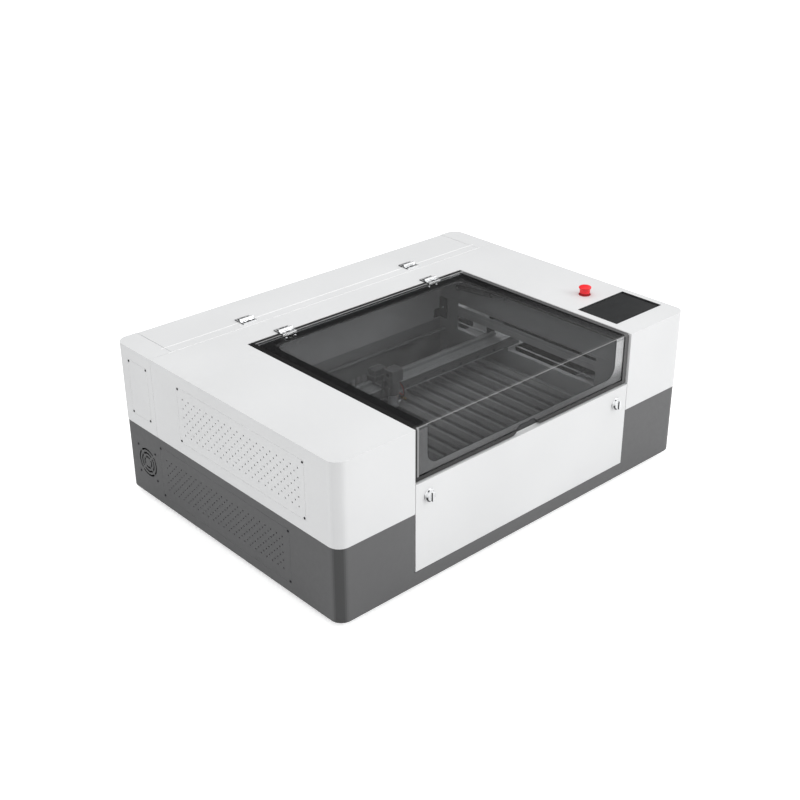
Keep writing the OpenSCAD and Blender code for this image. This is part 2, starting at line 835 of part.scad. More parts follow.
module drive_belts() {
    color("black") {
        both_sides() translate([y_belt_x, 0, shaft_z]) along_x(0, 6)
            belt_outline(idler_y, shaft_y, belt_r);
        translate([0, 0, belt_z]) linear_extrude(8) difference() {
            lift_loop(belt_r + belt_t);
            lift_loop(belt_r + 0.2);
        }
    }
}

// Outline that runs round the four lift pulleys
module lift_loop(r) {
    at_lift() circle(r);
    translate([-lift_x - r, lift_front]) square([2 * (lift_x + r), lift_back - lift_front]);
    translate([-lift_x, lift_front - r]) square([2 * lift_x, lift_back - lift_front + 2 * r]);
}

module case_motors() {
    color("dimgray") {
        translate([y_belt_x + 8, shaft_y, shaft_z]) rotate([0, -90, 0])
            stepper(2 * (bulkhead_y - shaft_y), 44, 2);
        lift_y = lift_back + belt_t + 2 * belt_r + 0.6;
        translate([0, lift_y, belt_z]) mirror([0, 0, 1]) stepper(40, 40, 13);
        bar_z(belt_z, belt_z + 8, 0, lift_y, belt_r);
        both_sides() span([20, lift_y - 6, pan_z], [24, lift_y + 14, 60]);
    }
}

module y_drive_shaft() {
    color("silver") {
        bar_x(-y_belt_x - 8, y_belt_x + 7.6, shaft_y, shaft_z, shaft_r);
        both_sides() bar_x(y_belt_x - 0.4, y_belt_x + 6.4, shaft_y, shaft_z, belt_r - 0.2);
    }
}

module laser_power_supply() {
    color("lightgray") difference() {
        span([380, -330, pan_z], [526, -120, 140]);
        for (i = [0:11]) span([379, -310 + 15 * i, 50], [384, -303 + 15 * i, 110]);
    }
}

module control_boards() {
    color("darkgreen") span([400, -80, 40], [520, 120, 42]);
    color("gray") {
        for (i = [0:1]) span([405, -70 + 95 * i, 42], [515, 5 + 95 * i, 66]);
        for (x = [404, 516], y = [-76, 116]) bar_z(pan_z, 40, x, y, 3);
    }
}

// Outline of the lid's side view: a square corner with one round edge, front at y0, top at z1
module lid_outline(y0, y1, z0, z1, r) {
    translate([y0, z0]) square([y1 - y0, z1 - r - z0]);
    translate([y0 + r, z0]) square([y1 - y0 - r, z1 - z0]);
    translate([y0 + r, z1 - r]) circle(r);
}

// Side view of a bent sheet that forms the lid's front and top, with its outer face on the outline
module lid_sheet(y0, y1, z0, t) {
    difference() {
        lid_outline(y0, y1, z0, top_z, lid_bend_r);
        lid_outline(y0 + t, y1 + past, z0 - past, top_z - t, lid_bend_r - t);
    }
}

module notch_outline() {
    for (k = [0, 1]) mirror([k, 0]) translate([0, lid_low])
        polygon([[-past, -2], [-past, 18], [notch_half - 22, 18], [notch_half - 16, 14],
                 [notch_half - 6, 3], [notch_half, 0], [notch_half, -2]]);
}

// Clear window: one cut from above and one from the front, each with two round corners
module window_cut() {
    w = 2 * window_hw;
    d = window_back - lid_front + 60;
    h = top_z - window_low + 60;
    translate([0, window_back - d / 2, top_z - 12]) linear_extrude(14) rounded(w, d, window_r);
    along_y(lid_front - 2, lid_front + 12) translate([0, window_low + h / 2]) rounded(w, h, window_r);
}

module lid_frame() {
    skin = acrylic_t + frame_t;
    skirt_z = top_z - skin - skirt_depth;
    color([0.12, 0.12, 0.13]) {
        difference() {
            union() {
                along_x(-lid_hw, lid_hw) lid_sheet(lid_front, lid_back, lid_low, skin);
                both_sides() {
                    span([lid_hw - sheet, lid_front + skin - 1, skirt_z],
                         [lid_hw, lid_back, top_z - skin + 1]);
                    span([lid_hw - sheet, lid_front + 2, lid_low],
                         [lid_hw, lid_front + fold_depth - 2, top_z - skin]);
                    bar_x(strut_x + 5, lid_hw - sheet / 2, strut_tip[0], strut_tip[1], stud_r);
                }
                span([12 - strut_x, lid_back - sheet, skirt_z],
                     [strut_x - 12, lid_back, top_z - skin + 1]);
                span([-lid_hw, lid_front + 2, lid_low],
                     [lid_hw, lid_front + fold_depth - 5, lid_low + sheet]);
            }
            along_x(-glass_hw - fit_gap, glass_hw + fit_gap) difference() {
                lid_outline(lid_front - 2, glass_back + fit_gap, glass_low - fit_gap, top_z + 2, 1);
                lid_outline(lid_front + acrylic_t, lid_back + past, glass_low - 3, top_z - acrylic_t,
                            lid_bend_r - acrylic_t);
            }
            window_cut();
            along_y(lid_front - 2, lid_front + fold_depth) notch_outline();
        }
    }
}

module lid_window() {
    color([0.15, 0.16, 0.17, 0.6]) difference() {
        along_x(-glass_hw, glass_hw) lid_sheet(lid_front, glass_back, glass_low, acrylic_t);
        along_y(lid_front - 2, lid_front + fold_depth) notch_outline();
    }
}

// Top and back of the tube compartment in one bent sheet
module tube_cover() {
    front = cover_axis_y + 0.6;
    color("white") {
        along_x(-cover_hw, cover_hw) difference() {
            mirror([1, 0]) lid_outline(-half_d, -front, cover_low, top_z, 3);
            mirror([1, 0]) lid_outline(-half_d + sheet, -front + past, cover_low - past, top_z - sheet,
                                       1.5);
        }
        both_sides() {
            span([cover_hw - sheet, front + 4, top_z - 12],
                 [cover_hw, half_d - sheet / 2, top_z - sheet / 2]);
            span([cover_hw - sheet, half_d - 12, cover_low],
                 [cover_hw, half_d - sheet / 2, top_z - sheet]);
        }
        span([-cover_hw, half_d - 12, cover_low], [cover_hw, half_d - sheet / 2, cover_low + sheet]);
    }
}

module front_door() {
    front = -half_d;
    color("white") difference() {
        span([-door_hw, front, door_low], [door_hw, front + door_fold, door_high]);
        span([-door_hw + sheet, front + sheet, door_low + sheet],
             [door_hw - sheet, front + door_fold + past, door_high - sheet]);
        both_sides() bar_x(door_hw - sheet - past, door_hw + past, door_axis_y, door_axis_z,
                           door_pin_r + run_gap);
        for (sx = [-1, 1]) bar_y(front - past, front + 3, sx * knob_x, knob_z, knob_shaft_r + run_gap);
    }
}

// Quarter-turn knob, its shaft and, behind the door, the cam that hooks over the cabinet edge
module door_knob(x) {
    translate([x, -half_d, knob_z]) {
        rotate([90, 0, 0]) rotate_extrude()
            polygon([[0, 0], [knob_r, 0], [knob_r, 1.6], [knob_r - 1.2, 2.8], [knob_r - 3, 3.2],
                     [knob_r - 4, 8], [knob_r - 5.2, 9.4], [0, 9.4]]);
        span([-2.2, -13, -10.5], [2.2, -9, 10.5]);
        bar_y(0, door_fold + 8, 0, 0, knob_shaft_r);
        span([-9, door_fold + 4, -cam_low], [9, door_fold + 7, 8]);
    }
}

module door_knob_left() {
    color("silver") door_knob(-knob_x);
}

module door_knob_right() {
    color("silver") door_knob(knob_x);
}

// Places children with +Z along the resting strut, at its lower pivot
module at_strut() {
    both_sides() translate([strut_x, strut_base[0], strut_base[1]]) rotate([strut_tilt, 0, 0])
        children();
}

module strut_cylinders() {
    color("black") at_strut() difference() {
        union() {
            translate([0, 0, 6]) cylinder(r = 7, h = 112);
            bar_x(-4, 4, 0, 0, 8);
        }
        bar_x(-5, 5, 0, 0, stud_r + run_gap);
        translate([0, 0, 20]) cylinder(r = 3 + run_gap, h = 100);
    }
}

module strut_rods() {
    color("silver") at_strut() difference() {
        union() {
            translate([0, 0, 30]) cylinder(r = 3, h = strut_len - 34);
            translate([0, 0, strut_len]) bar_x(-3, 3, 0, 0, 6.5);
        }
        translate([0, 0, strut_len]) bar_x(-4, 4, 0, 0, stud_r + 0.1);
    }
}

// Bearing block on the rail, a plate down the front of the beam and the third mirror's box
module head_carriage() {
    front = gantry_y - beam_half;
    color("lightgray") translate([head_x, 0, 0]) {
        difference() {
            span([-20.5, x_rail_y - 14, beam_high + 1.5], [20.5, x_rail_y + 14, 269]);
            span([-21, x_rail_y - 6.3, beam_high], [21, x_rail_y + 6.3, beam_high + 8.3]);
        }
        span([-20.5, x_rail_y - 14, 269], [20.5, x_rail_y + 14, 271]);
        span([-18, x_rail_y - 12, 271], [18, x_rail_y + 12, 287]);
        span([-20.5, front - 5, 254], [20.5, x_rail_y - 13, 258]);
        span([-20.5, front - 5, 226], [20.5, front - 1, 275]);
        difference() {
            union() {
                span([-17, ray_y - 16, beam_z - 17], [17, ray_y + 14, beam_z + 13]);
                bar_z(238, beam_z - 16, 0, ray_y, focus_r + 2);
                span([-17, ray_y - 3, 238], [17, front - 1, 258]);
            }
            bar_z(237, beam_z - 2, 0, ray_y, focus_r + run_gap);
            bar_x(-18, 0, ray_y, beam_z, 6);
        }
    }
}

// Lens tube that slides in the head, ending in a nozzle with an air port
module focus_tube() {
    color("silver") translate([head_x, ray_y, 0]) difference() {
        union() {
            translate([0, 0, 216]) cylinder(r = focus_r, h = 56);
            translate([0, 0, 208]) cylinder(r = 13.5, h = 9);
            translate([0, 0, 197]) cylinder(r1 = 4, r2 = 11, h = 11.5);
            bar_x(12, 22, 0, 212, 3);
        }
        translate([0, 0, 190]) cylinder(r = 1.8, h = 90);
        translate([0, 0, 209]) cylinder(r = 9, h = 70);
    }
}

module lift_nut() {
    translate([0, 0, table_top - bar - 8]) difference() {
        union() {
            cylinder(r = 11, h = 8);
            cylinder(r = 7, h = 14);
        }
        translate([0, 0, -past]) cylinder(r = screw_thread_r + 0.08, h = 30);
    }
}

// Square-tube frame with an ear at each lift screw
module table_frame() {
    low = table_top - bar;
    color("lightgray") difference() {
        union() {
            difference() {
                table_block(0, low, table_top);
                table_block(bar, low - past, table_top + past);
                table_block(slat_seat, table_top - slat_h, table_top + past);
            }
            for (x = [-lift_x, lift_x]) {
                span([x - 14, lift_front - 13, low], [x + 14, table_front + past, low + 5]);
                span([x - 14, table_back - past, low], [x + 14, lift_back + 13, low + 5]);
            }
        }
        at_lift() bar_z(low - past, table_top + past, 0, 0, 7.2);
    }
    color("goldenrod") at_lift() lift_nut();
}

// Block inside the table's outline, held back on every side
module table_block(inset, low, high) {
    span([-table_hw + inset, table_front + inset, low], [table_hw - inset, table_back - inset, high]);
}

module table_slats() {
    color("darkgray") for (i = [0:slat_count - 1])
        translate([(i - (slat_count - 1) / 2) * slat_pitch, 0, 0])
            span([-slat_w / 2, table_front + slat_seat + fit_gap, table_top - slat_h],
                 [slat_w / 2, table_back - slat_seat - fit_gap, table_top]);
}

module lift_screw(x, y) {
    color("silver") {
        bar_z(pan_z - 0.5, table_top - 1, x, y, screw_thread_r);
        bar_z(belt_z, belt_z + 8, x, y, belt_r);
    }
}

module lift_screw_front_left() {
    lift_screw(-lift_x, lift_front);
}

module lift_screw_front_right() {
    lift_screw(lift_x, lift_front);
}

module lift_screw_rear_left() {
    lift_screw(-lift_x, lift_back);
}

module lift_screw_rear_right() {
    lift_screw(lift_x, lift_back);
}

lower_case();
base_plate();
upper_case();
rear_housing();
hinge_strip();
chamber_walls();
rear_bulkhead();
upper_vent_panel();
lower_vent_panels();
tube_end_covers();
panel_screws();
feet();
display_housing();
display_glass();
fixed_hinge_leaves();
hinge_pins();
estop_body();
intake_fan_frame();
exhaust_fan_frame();
exhaust_spigot();
power_inlet();
hose_fittings();
laser_tube();
tube_holders();
mirror_one();
y_rails();
drive_belts();
case_motors();
laser_power_supply();
control_boards();
lid_frame();
lid_window();
lid_hinge_leaves();
tube_cover();
cover_hinge_leaves();
front_door();
door_knob_left();
door_knob_right();
strut_cylinders();
strut_rods();
estop_plunger();
estop_head();
intake_fan_rotor();
exhaust_fan_rotor();
power_rocker();
gantry_beam();
gantry_carriages();
x_rail();
mirror_two();
x_belt();
x_motor();
head_carriage();
focus_tube();
y_drive_shaft();
table_frame();
table_slats();
lift_screw_front_left();
lift_screw_front_right();
lift_screw_rear_left();
lift_screw_rear_right();
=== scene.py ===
"""Looks for the desktop laser engraver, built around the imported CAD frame. Metres, same frame as the CAD:
origin on the floor under the cabinet's centre, +X right, -Y front, +Z up."""

import json
import math

import bmesh
import bpy
from mathutils import Matrix, Vector


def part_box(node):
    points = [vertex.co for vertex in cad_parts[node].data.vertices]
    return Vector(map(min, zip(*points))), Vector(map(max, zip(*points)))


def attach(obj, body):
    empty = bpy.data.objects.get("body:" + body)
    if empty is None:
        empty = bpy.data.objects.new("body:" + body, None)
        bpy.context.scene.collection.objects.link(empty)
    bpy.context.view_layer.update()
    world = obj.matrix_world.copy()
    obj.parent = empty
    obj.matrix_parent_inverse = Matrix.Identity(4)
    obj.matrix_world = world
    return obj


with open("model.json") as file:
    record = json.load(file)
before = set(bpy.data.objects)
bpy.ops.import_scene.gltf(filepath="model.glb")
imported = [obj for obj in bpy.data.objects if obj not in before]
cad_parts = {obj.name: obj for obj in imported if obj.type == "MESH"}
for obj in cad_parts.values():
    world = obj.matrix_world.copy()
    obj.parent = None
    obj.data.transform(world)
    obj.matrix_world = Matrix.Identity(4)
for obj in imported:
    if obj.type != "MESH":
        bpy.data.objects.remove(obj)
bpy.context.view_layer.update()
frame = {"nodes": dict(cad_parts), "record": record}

MM = 0.001
TOP_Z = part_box("upper_case")[1][2]
WINDOW_LOW, WINDOW_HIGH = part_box("lid_window")
GANTRY_RANGE = next(joint["range_m"] for joint in frame["record"]["behaviour"]["joints"]
                    if joint["name"] == "gantry_travel")


# ---------------------------------------------------------------- node helpers


def new_material(name):
    """A material with one Principled shader; returns (material, node tree, shader)."""
    mat = bpy.data.materials.new(name)
    mat.use_nodes = True
    tree = mat.node_tree
    tree.nodes.clear()
    output = tree.nodes.new("ShaderNodeOutputMaterial")
    shader = tree.nodes.new("ShaderNodeBsdfPrincipled")
    tree.links.new(shader.outputs[0], output.inputs[0])
    return mat, tree, shader


def object_coords(tree, stretch=(1, 1, 1)):
    """Object coordinates, which are the row frame's metres at rest, stretched along each axis."""
    coords = tree.nodes.new("ShaderNodeTexCoord")
    scale = tree.nodes.new("ShaderNodeMapping")
    scale.inputs["Scale"].default_value = stretch
    tree.links.new(coords.outputs["Object"], scale.inputs["Vector"])
    return scale.outputs[0]


def noise(tree, size, detail, stretch=(1, 1, 1)):
    """Noise whose grains are about size metres across; stretch squeezes it along an axis."""
    node = tree.nodes.new("ShaderNodeTexNoise")
    node.inputs["Scale"].default_value = 1 / size
    node.inputs["Detail"].default_value = detail
    tree.links.new(object_coords(tree, stretch), node.inputs["Vector"])
    return node.outputs["Fac"]


def remap(tree, value, low, high, start=0.3, end=0.7):
    """value's start..end becomes low..high."""
    node = tree.nodes.new("ShaderNodeMapRange")
    node.inputs["From Min"].default_value = start
    node.inputs["From Max"].default_value = end
    node.inputs["To Min"].default_value = low
    node.inputs["To Max"].default_value = high
    tree.links.new(value, node.inputs["Value"])
    return node.outputs["Result"]


def math_node(tree, operation, a, b=0):
    """A maths node on one or two numbers or sockets."""
    node = tree.nodes.new("ShaderNodeMath")
    node.operation = operation
    for socket, value in zip(node.inputs, (a, b)):
        if isinstance(value, (int, float)):
            socket.default_value = value
        else:
            tree.links.new(value, socket)
    return node.outputs[0]


def mix_color(tree, factor, a, b):
    """Mixes two colours, or a colour and a socket, by a factor socket."""
    node = tree.nodes.new("ShaderNodeMix")
    node.data_type = "RGBA"
    tree.links.new(factor, node.inputs["Factor"])
    for index, value in ((6, a), (7, b)):
        if isinstance(value, tuple):
            node.inputs[index].default_value = (*value, 1)
        else:
            tree.links.new(value, node.inputs[index])
    return node.outputs[2]


def rounded_normal(tree, radius):
    """The surface normal with sharp edges rounded to a radius, for shading only."""
    node = tree.nodes.new("ShaderNodeBevel")
    node.samples = 4
    node.inputs["Radius"].default_value = radius
    return node.outputs[0]


def bump(tree, height, strength, distance, normal):
    node = tree.nodes.new("ShaderNodeBump")
    node.inputs["Strength"].default_value = strength
    node.inputs["Distance"].default_value = distance
    tree.links.new(height, node.inputs["Height"])
    tree.links.new(normal, node.inputs["Normal"])
    return node.outputs[0]


def edge_mask(tree, normal):
    """1 along sharp edges and 0 elsewhere, from how far the rounded normal leans off the true one."""
    geometry = tree.nodes.new("ShaderNodeNewGeometry")
    dot = tree.nodes.new("ShaderNodeVectorMath")
    dot.operation = "DOT_PRODUCT"
    tree.links.new(normal, dot.inputs[0])
    tree.links.new(geometry.outputs["Normal"], dot.inputs[1])
    return remap(tree, dot.outputs["Value"], 1, 0, 0.80, 0.985)


def axis_of(tree, vector, axis):
    """The X, Y or Z part of a vector socket."""
    split = tree.nodes.new("ShaderNodeSeparateXYZ")
    tree.links.new(vector, split.inputs[0])
    return split.outputs[axis]


def ramp(tree, value, start, end):
    """0 up to start and 1 from end on."""
    return remap(tree, value, 0, 1, start, end)


def step_mask(tree, value, edge, width=0.5 * MM):
    """0 below the edge and 1 above it."""
    return ramp(tree, value, edge - width / 2, edge + width / 2)


def inverse(tree, value):
    return math_node(tree, "SUBTRACT", 1, value)


def normal_axis(tree, axis):
    """The X, Y or Z part of the face's normal in object space."""
    geometry = tree.nodes.new("ShaderNodeNewGeometry")
    to_object = tree.nodes.new("ShaderNodeVectorTransform")
    to_object.vector_type = "NORMAL"
    to_object.convert_from = "WORLD"
    to_object.convert_to = "OBJECT"
    tree.links.new(geometry.outputs["True Normal"], to_object.inputs[0])
    return axis_of(tree, to_object.outputs[0], axis)


def scaled(color, factor):
    return tuple(min(1.0, c * factor) for c in color)


# ------------------------------------------------------------------- materials


def paint(name, color, rough=0.42, texture=0.10, wear_and_highlight=(0.2, 0.35), worn_and_lit_color=None, radius=0.8 * MM, recolor=None,
          sheen_level=0.5):
    """Sprayed or powder-coated metal: fine orange peel, slow tone drift, and edges made lighter, partly by
    abrasion and partly as a painted highlight.
    recolor(tree, tone) may change the colour from place to place."""
    mat, tree, shader = new_material(name)
    soft = rounded_normal(tree, radius)
    # edges lighter: partly abrasion, partly a painted highlight along them
    rubbed_and_lit_edges = math_node(tree, "MULTIPLY", edge_mask(tree, soft), remap(tree, noise(tree, 9 * MM, 4), *wear_and_highlight))
    slow = remap(tree, noise(tree, 220 * MM, 1), 0, 1)
    drift = mix_color(tree, slow, scaled(color, 0.975), scaled(color, 1.02))
    if recolor:
        drift = recolor(tree, drift)
    tone = mix_color(tree, rubbed_and_lit_edges, drift, worn_and_lit_color or scaled(color, 1.35))
    tree.links.new(tone, shader.inputs["Base Color"])
    peel = noise(tree, 0.9 * MM, 3)
    gloss = remap(tree, noise(tree, 14 * MM, 3), rough - 0.05, rough + 0.06)
    tree.links.new(gloss, shader.inputs["Roughness"])
    tree.links.new(bump(tree, peel, texture, 0.1 * MM, soft), shader.inputs["Normal"])
    shader.inputs["Specular IOR Level"].default_value = sheen_level
    return mat


def plastic(name, color, rough=0.5, texture=0.15, grain=0.5 * MM, coat=0.0, recolor=None):
    """Moulded plastic with a fine spark-eroded grain."""
    mat, tree, shader = new_material(name)
    soft = rounded_normal(tree, 0.5 * MM)
    patches = remap(tree, noise(tree, 20 * MM, 2), 0, 1)
    tone = mix_color(tree, patches, scaled(color, 0.9), scaled(color, 1.1))
    if recolor:
        tone = recolor(tree, tone)
    tree.links.new(tone, shader.inputs["Base Color"])
    gloss = remap(tree, noise(tree, 4 * MM, 3), rough - 0.06, rough + 0.08)
    tree.links.new(gloss, shader.inputs["Roughness"])
    tree.links.new(bump(tree, noise(tree, grain, 2), texture, 0.05 * MM, soft), shader.inputs["Normal"])
    shader.inputs["Coat Weight"].default_value = coat
    shader.inputs["Coat Roughness"].default_value = 0.05
    return mat


def metal(name, color, rough, brush=(1, 1, 1), grain=0.6 * MM, texture=0.12):
    """Bare or plated metal; brush squeezes the grain along the brushing direction."""
    mat, tree, shader = new_material(name)
    soft = rounded_normal(tree, 0.5 * MM)
    streaks = noise(tree, grain, 3, brush)
    tone = mix_color(tree, remap(tree, streaks, 0, 1), scaled(color, 0.88), scaled(color, 1.08))
    tree.links.new(tone, shader.inputs["Base Color"])
    shader.inputs["Metallic"].default_value = 1
    smudge = remap(tree, noise(tree, 12 * MM, 4), rough * 0.75, rough * 1.4)
    tree.links.new(smudge, shader.inputs["Roughness"])
    tree.links.new(bump(tree, streaks, texture, 0.03 * MM, soft), shader.inputs["Normal"])
    return mat


def chrome(name):
    """Polished plating with faint polishing waves and dulled patches. Reflections that run backwards and
    down are darkened, which stands in for dark surroundings and is no property of the plating."""
    mat, tree, shader = new_material(name)
    soft = rounded_normal(tree, 0.5 * MM)
    coords = tree.nodes.new("ShaderNodeTexCoord")
    inward = step_mask(tree, axis_of(tree, coords.outputs["Reflection"], "Y"), 0.4, 0.2)
    upward = step_mask(tree, axis_of(tree, coords.outputs["Reflection"], "Z"), 0.0, 0.3)
    shade = math_node(tree, "MULTIPLY", inward, inverse(tree, upward))
    tone = mix_color(tree, shade, (0.88, 0.89, 0.90), (0.02, 0.02, 0.02))
    tree.links.new(tone, shader.inputs["Base Color"])
    shader.inputs["Metallic"].default_value = 0.6
    tree.links.new(remap(tree, noise(tree, 3 * MM, 4), 0.05, 0.16), shader.inputs["Roughness"])
    tree.links.new(bump(tree, noise(tree, 2.5 * MM, 2), 0.05, 0.05 * MM, soft), shader.inputs["Normal"])
    return mat


def see_through(name, tint, spill, haze, haze_and_highlight_color=(0.5, 0.5, 0.5), fold_highlight=0.0, window=None):
    """Thin clear sheet: polished outside, with a little dusty haze. Each face that a camera ray crosses
    takes the tint; other rays take the paler spill, so that what lies behind the sheet is still lit.
    fold_highlight is a painted highlight along the middle of the fold between top and front, drawn with the
    haze's diffuse.
    window, as (half width, back edge), keeps the haze off the sheet's border."""
    mat = bpy.data.materials.new(name)
    mat.use_nodes = True
    tree = mat.node_tree
    tree.nodes.clear()
    output = tree.nodes.new("ShaderNodeOutputMaterial")
    path = tree.nodes.new("ShaderNodeLightPath")
    clear = tree.nodes.new("ShaderNodeBsdfTransparent")
    tree.links.new(mix_color(tree, path.outputs["Is Camera Ray"], spill, tint), clear.inputs[0])
    gloss = tree.nodes.new("ShaderNodeBsdfGlossy")
    tree.links.new(remap(tree, noise(tree, 25 * MM, 3), 0.01, 0.03), gloss.inputs["Roughness"])
    dust_and_highlight_diffuse = tree.nodes.new("ShaderNodeBsdfDiffuse")
    dust_and_highlight_diffuse.inputs["Color"].default_value = (*haze_and_highlight_color, 1)
    fresnel = tree.nodes.new("ShaderNodeFresnel")
    fresnel.inputs["IOR"].default_value = 1.49
    geometry = tree.nodes.new("ShaderNodeNewGeometry")
    outside = inverse(tree, geometry.outputs["Backfacing"])
    front = math_node(tree, "MULTIPLY", normal_axis(tree, "Y"), -1)
    # 0.5 on a face that leans 45 degrees between front and top
    mitre = math_node(tree, "MULTIPLY", front, normal_axis(tree, "Z"))
    on_fold = math_node(tree, "MULTIPLY", step_mask(tree, mitre, 0.486, 0.01), outside)
    # painted highlight along the middle of the fold, drawn with the haze's diffuse
    painted_fold_highlight = math_node(tree, "MULTIPLY", on_fold, fold_highlight)
    shine = math_node(tree, "MULTIPLY", outside, remap(tree, front, 1, 0.15, 0.5, 0.9))
    first = tree.nodes.new("ShaderNodeMixShader")
    film = remap(tree, noise(tree, 8 * MM, 4), haze * 0.6, haze * 1.4)
    if window:
        place = object_coords(tree)
        aside = math_node(tree, "ABSOLUTE", axis_of(tree, place, "X"))
        for value, edge in ((aside, window[0]), (axis_of(tree, place, "Y"), window[1])):
            inside = inverse(tree, step_mask(tree, value, edge))
            film = math_node(tree, "MULTIPLY", film, inside)
    dust_and_fold_highlight = math_node(tree, "ADD", film, painted_fold_highlight)
    tree.links.new(dust_and_fold_highlight, first.inputs[0])
    tree.links.new(clear.outputs[0], first.inputs[1])
    tree.links.new(dust_and_highlight_diffuse.outputs[0], first.inputs[2])
    second = tree.nodes.new("ShaderNodeMixShader")
    tree.links.new(math_node(tree, "MULTIPLY", fresnel.outputs[0], shine), second.inputs[0])
    tree.links.new(first.outputs[0], second.inputs[1])
    tree.links.new(gloss.outputs[0], second.inputs[2])
    tree.links.new(second.outputs[0], output.inputs[0])
    return mat


WHITE = (0.69, 0.695, 0.70)
GREY = (0.122, 0.123, 0.125)


def lid_tones(tree, tone):
    """The lid's border round the window: black on top, grey on the front that pales to the right, and paler
    strips along the rear and right edges. The front's grey and its paling are a painted reflection, the
    white band up the right post is a painted highlight, and the black along the left edge is painted shade
    of the gap beside the lid. The tones are set one by one."""
    place = object_coords(tree)
    x, y, z = (axis_of(tree, place, k) for k in "XYZ")
    left_edge, right_edge = WINDOW_LOW[0] - 0.5 * MM, WINDOW_HIGH[0] + 0.5 * MM
    front_face = step_mask(tree, math_node(tree, "MULTIPLY", normal_axis(tree, "Y"), -1), 0.6, 0.2)
    # painted reflection: grey on the front face, paling to the right
    front = mix_color(tree, ramp(tree, x, -150 * MM, 50 * MM), (0.24, 0.241, 0.243), (0.145, 0.145, 0.147))
    front = mix_color(tree, ramp(tree, x, 130 * MM, 330 * MM), front, (0.34, 0.342, 0.345))
    # painted highlight: a white band up the right post
    right_post = step_mask(tree, x, WINDOW_HIGH[0] - 37 * MM, 8 * MM)
    upright = math_node(tree, "MULTIPLY", right_post, ramp(tree, z, 290 * MM, 325 * MM))
    front = mix_color(tree, upright, front, (1.0, 1.0, 1.0))
    front = mix_color(tree, step_mask(tree, z, WINDOW_LOW[2] + 0.8 * MM), (0.02, 0.02, 0.02), front)
    front = mix_color(tree, step_mask(tree, x, right_edge), front, (0.07, 0.07, 0.071))
    # painted shade: black along the left edge, for the gap beside the lid
    front = mix_color(tree, step_mask(tree, x, left_edge - 5 * MM), (0.004, 0.004, 0.004), front)
    right = mix_color(tree, ramp(tree, y, -300 * MM, 50 * MM), (0.085, 0.085, 0.086), tone)
    top = mix_color(tree, step_mask(tree, x, WINDOW_HIGH[0] - 47 * MM, 6 * MM), tone, right)
    top = mix_color(tree, step_mask(tree, x, right_edge), top, (0.10, 0.10, 0.102))
    top = mix_color(tree, step_mask(tree, y, WINDOW_HIGH[1] - 3.5 * MM), top, (0.30, 0.302, 0.305))
    top = mix_color(tree, step_mask(tree, y, WINDOW_HIGH[1] + 3.5 * MM), top, (0.02, 0.02, 0.02))
    # painted shade: black along the left edge of the top, for the gap beside the lid
    top = mix_color(tree, step_mask(tree, x, left_edge), (0.006, 0.006, 0.006), top)
    return mix_color(tree, front_face, top, front)


def bulkhead_tones(tree, tone):
    """The bulkhead is toned darker up to a line just above the gantry beam's lower edge."""
    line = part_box("gantry_beam")[0][2] + 9 * MM
    z = axis_of(tree, object_coords(tree), "Z")
    return mix_color(tree, step_mask(tree, z, line), (0.44, 0.442, 0.445), tone)


def painted_front_shade(shade_color):
    """Painted shade: tones the table's parts towards a darker colour at the front; no stain or abrasion is
    meant.
    """
    def recolor(tree, tone):
        y = axis_of(tree, object_coords(tree), "Y")
        return mix_color(tree, ramp(tree, y, -270 * MM, 60 * MM), shade_color, tone)
    return recolor


def painted_case_shade(front_shade_share, corner_shade_share):
    """Painted shade: tones the paint down a little on the front, and more round the upright corners."""
    def recolor(tree, tone):
        across, along = normal_axis(tree, "X"), normal_axis(tree, "Y")
        front = remap(tree, math_node(tree, "MULTIPLY", along, -1), 1, front_shade_share, 0.6, 0.95)
        corner = remap(tree, math_node(tree, "MULTIPLY", across, along), 1, corner_shade_share, 0.15, 0.42)
        share = math_node(tree, "MULTIPLY", front, corner)
        shade = tree.nodes.new("ShaderNodeVectorMath")
        shade.operation = "SCALE"
        tree.links.new(share, shade.inputs["Scale"])
        tree.links.new(tone, shade.inputs[0])
        return shade.outputs["Vector"]
    return recolor


def beam_painted_shade(tree, tone):
    """Painted shade: the beam's front is toned darker than its top."""
    front = math_node(tree, "MULTIPLY", normal_axis(tree, "Y"), -1)
    return mix_color(tree, step_mask(tree, front, 0.7, 0.2), tone, (0.16, 0.16, 0.162))


def stop_tones(tree, tone):
    """The stop button's collar is red above the panel, and its switch below is black."""
    z = axis_of(tree, object_coords(tree), "Z")
    return mix_color(tree, step_mask(tree, z, TOP_Z - 0.5 * MM), tone, (0.40, 0.012, 0.016))


# painted highlight: the near-white colour given to edges
BRIGHT_EDGE = (0.95, 0.95, 0.95)

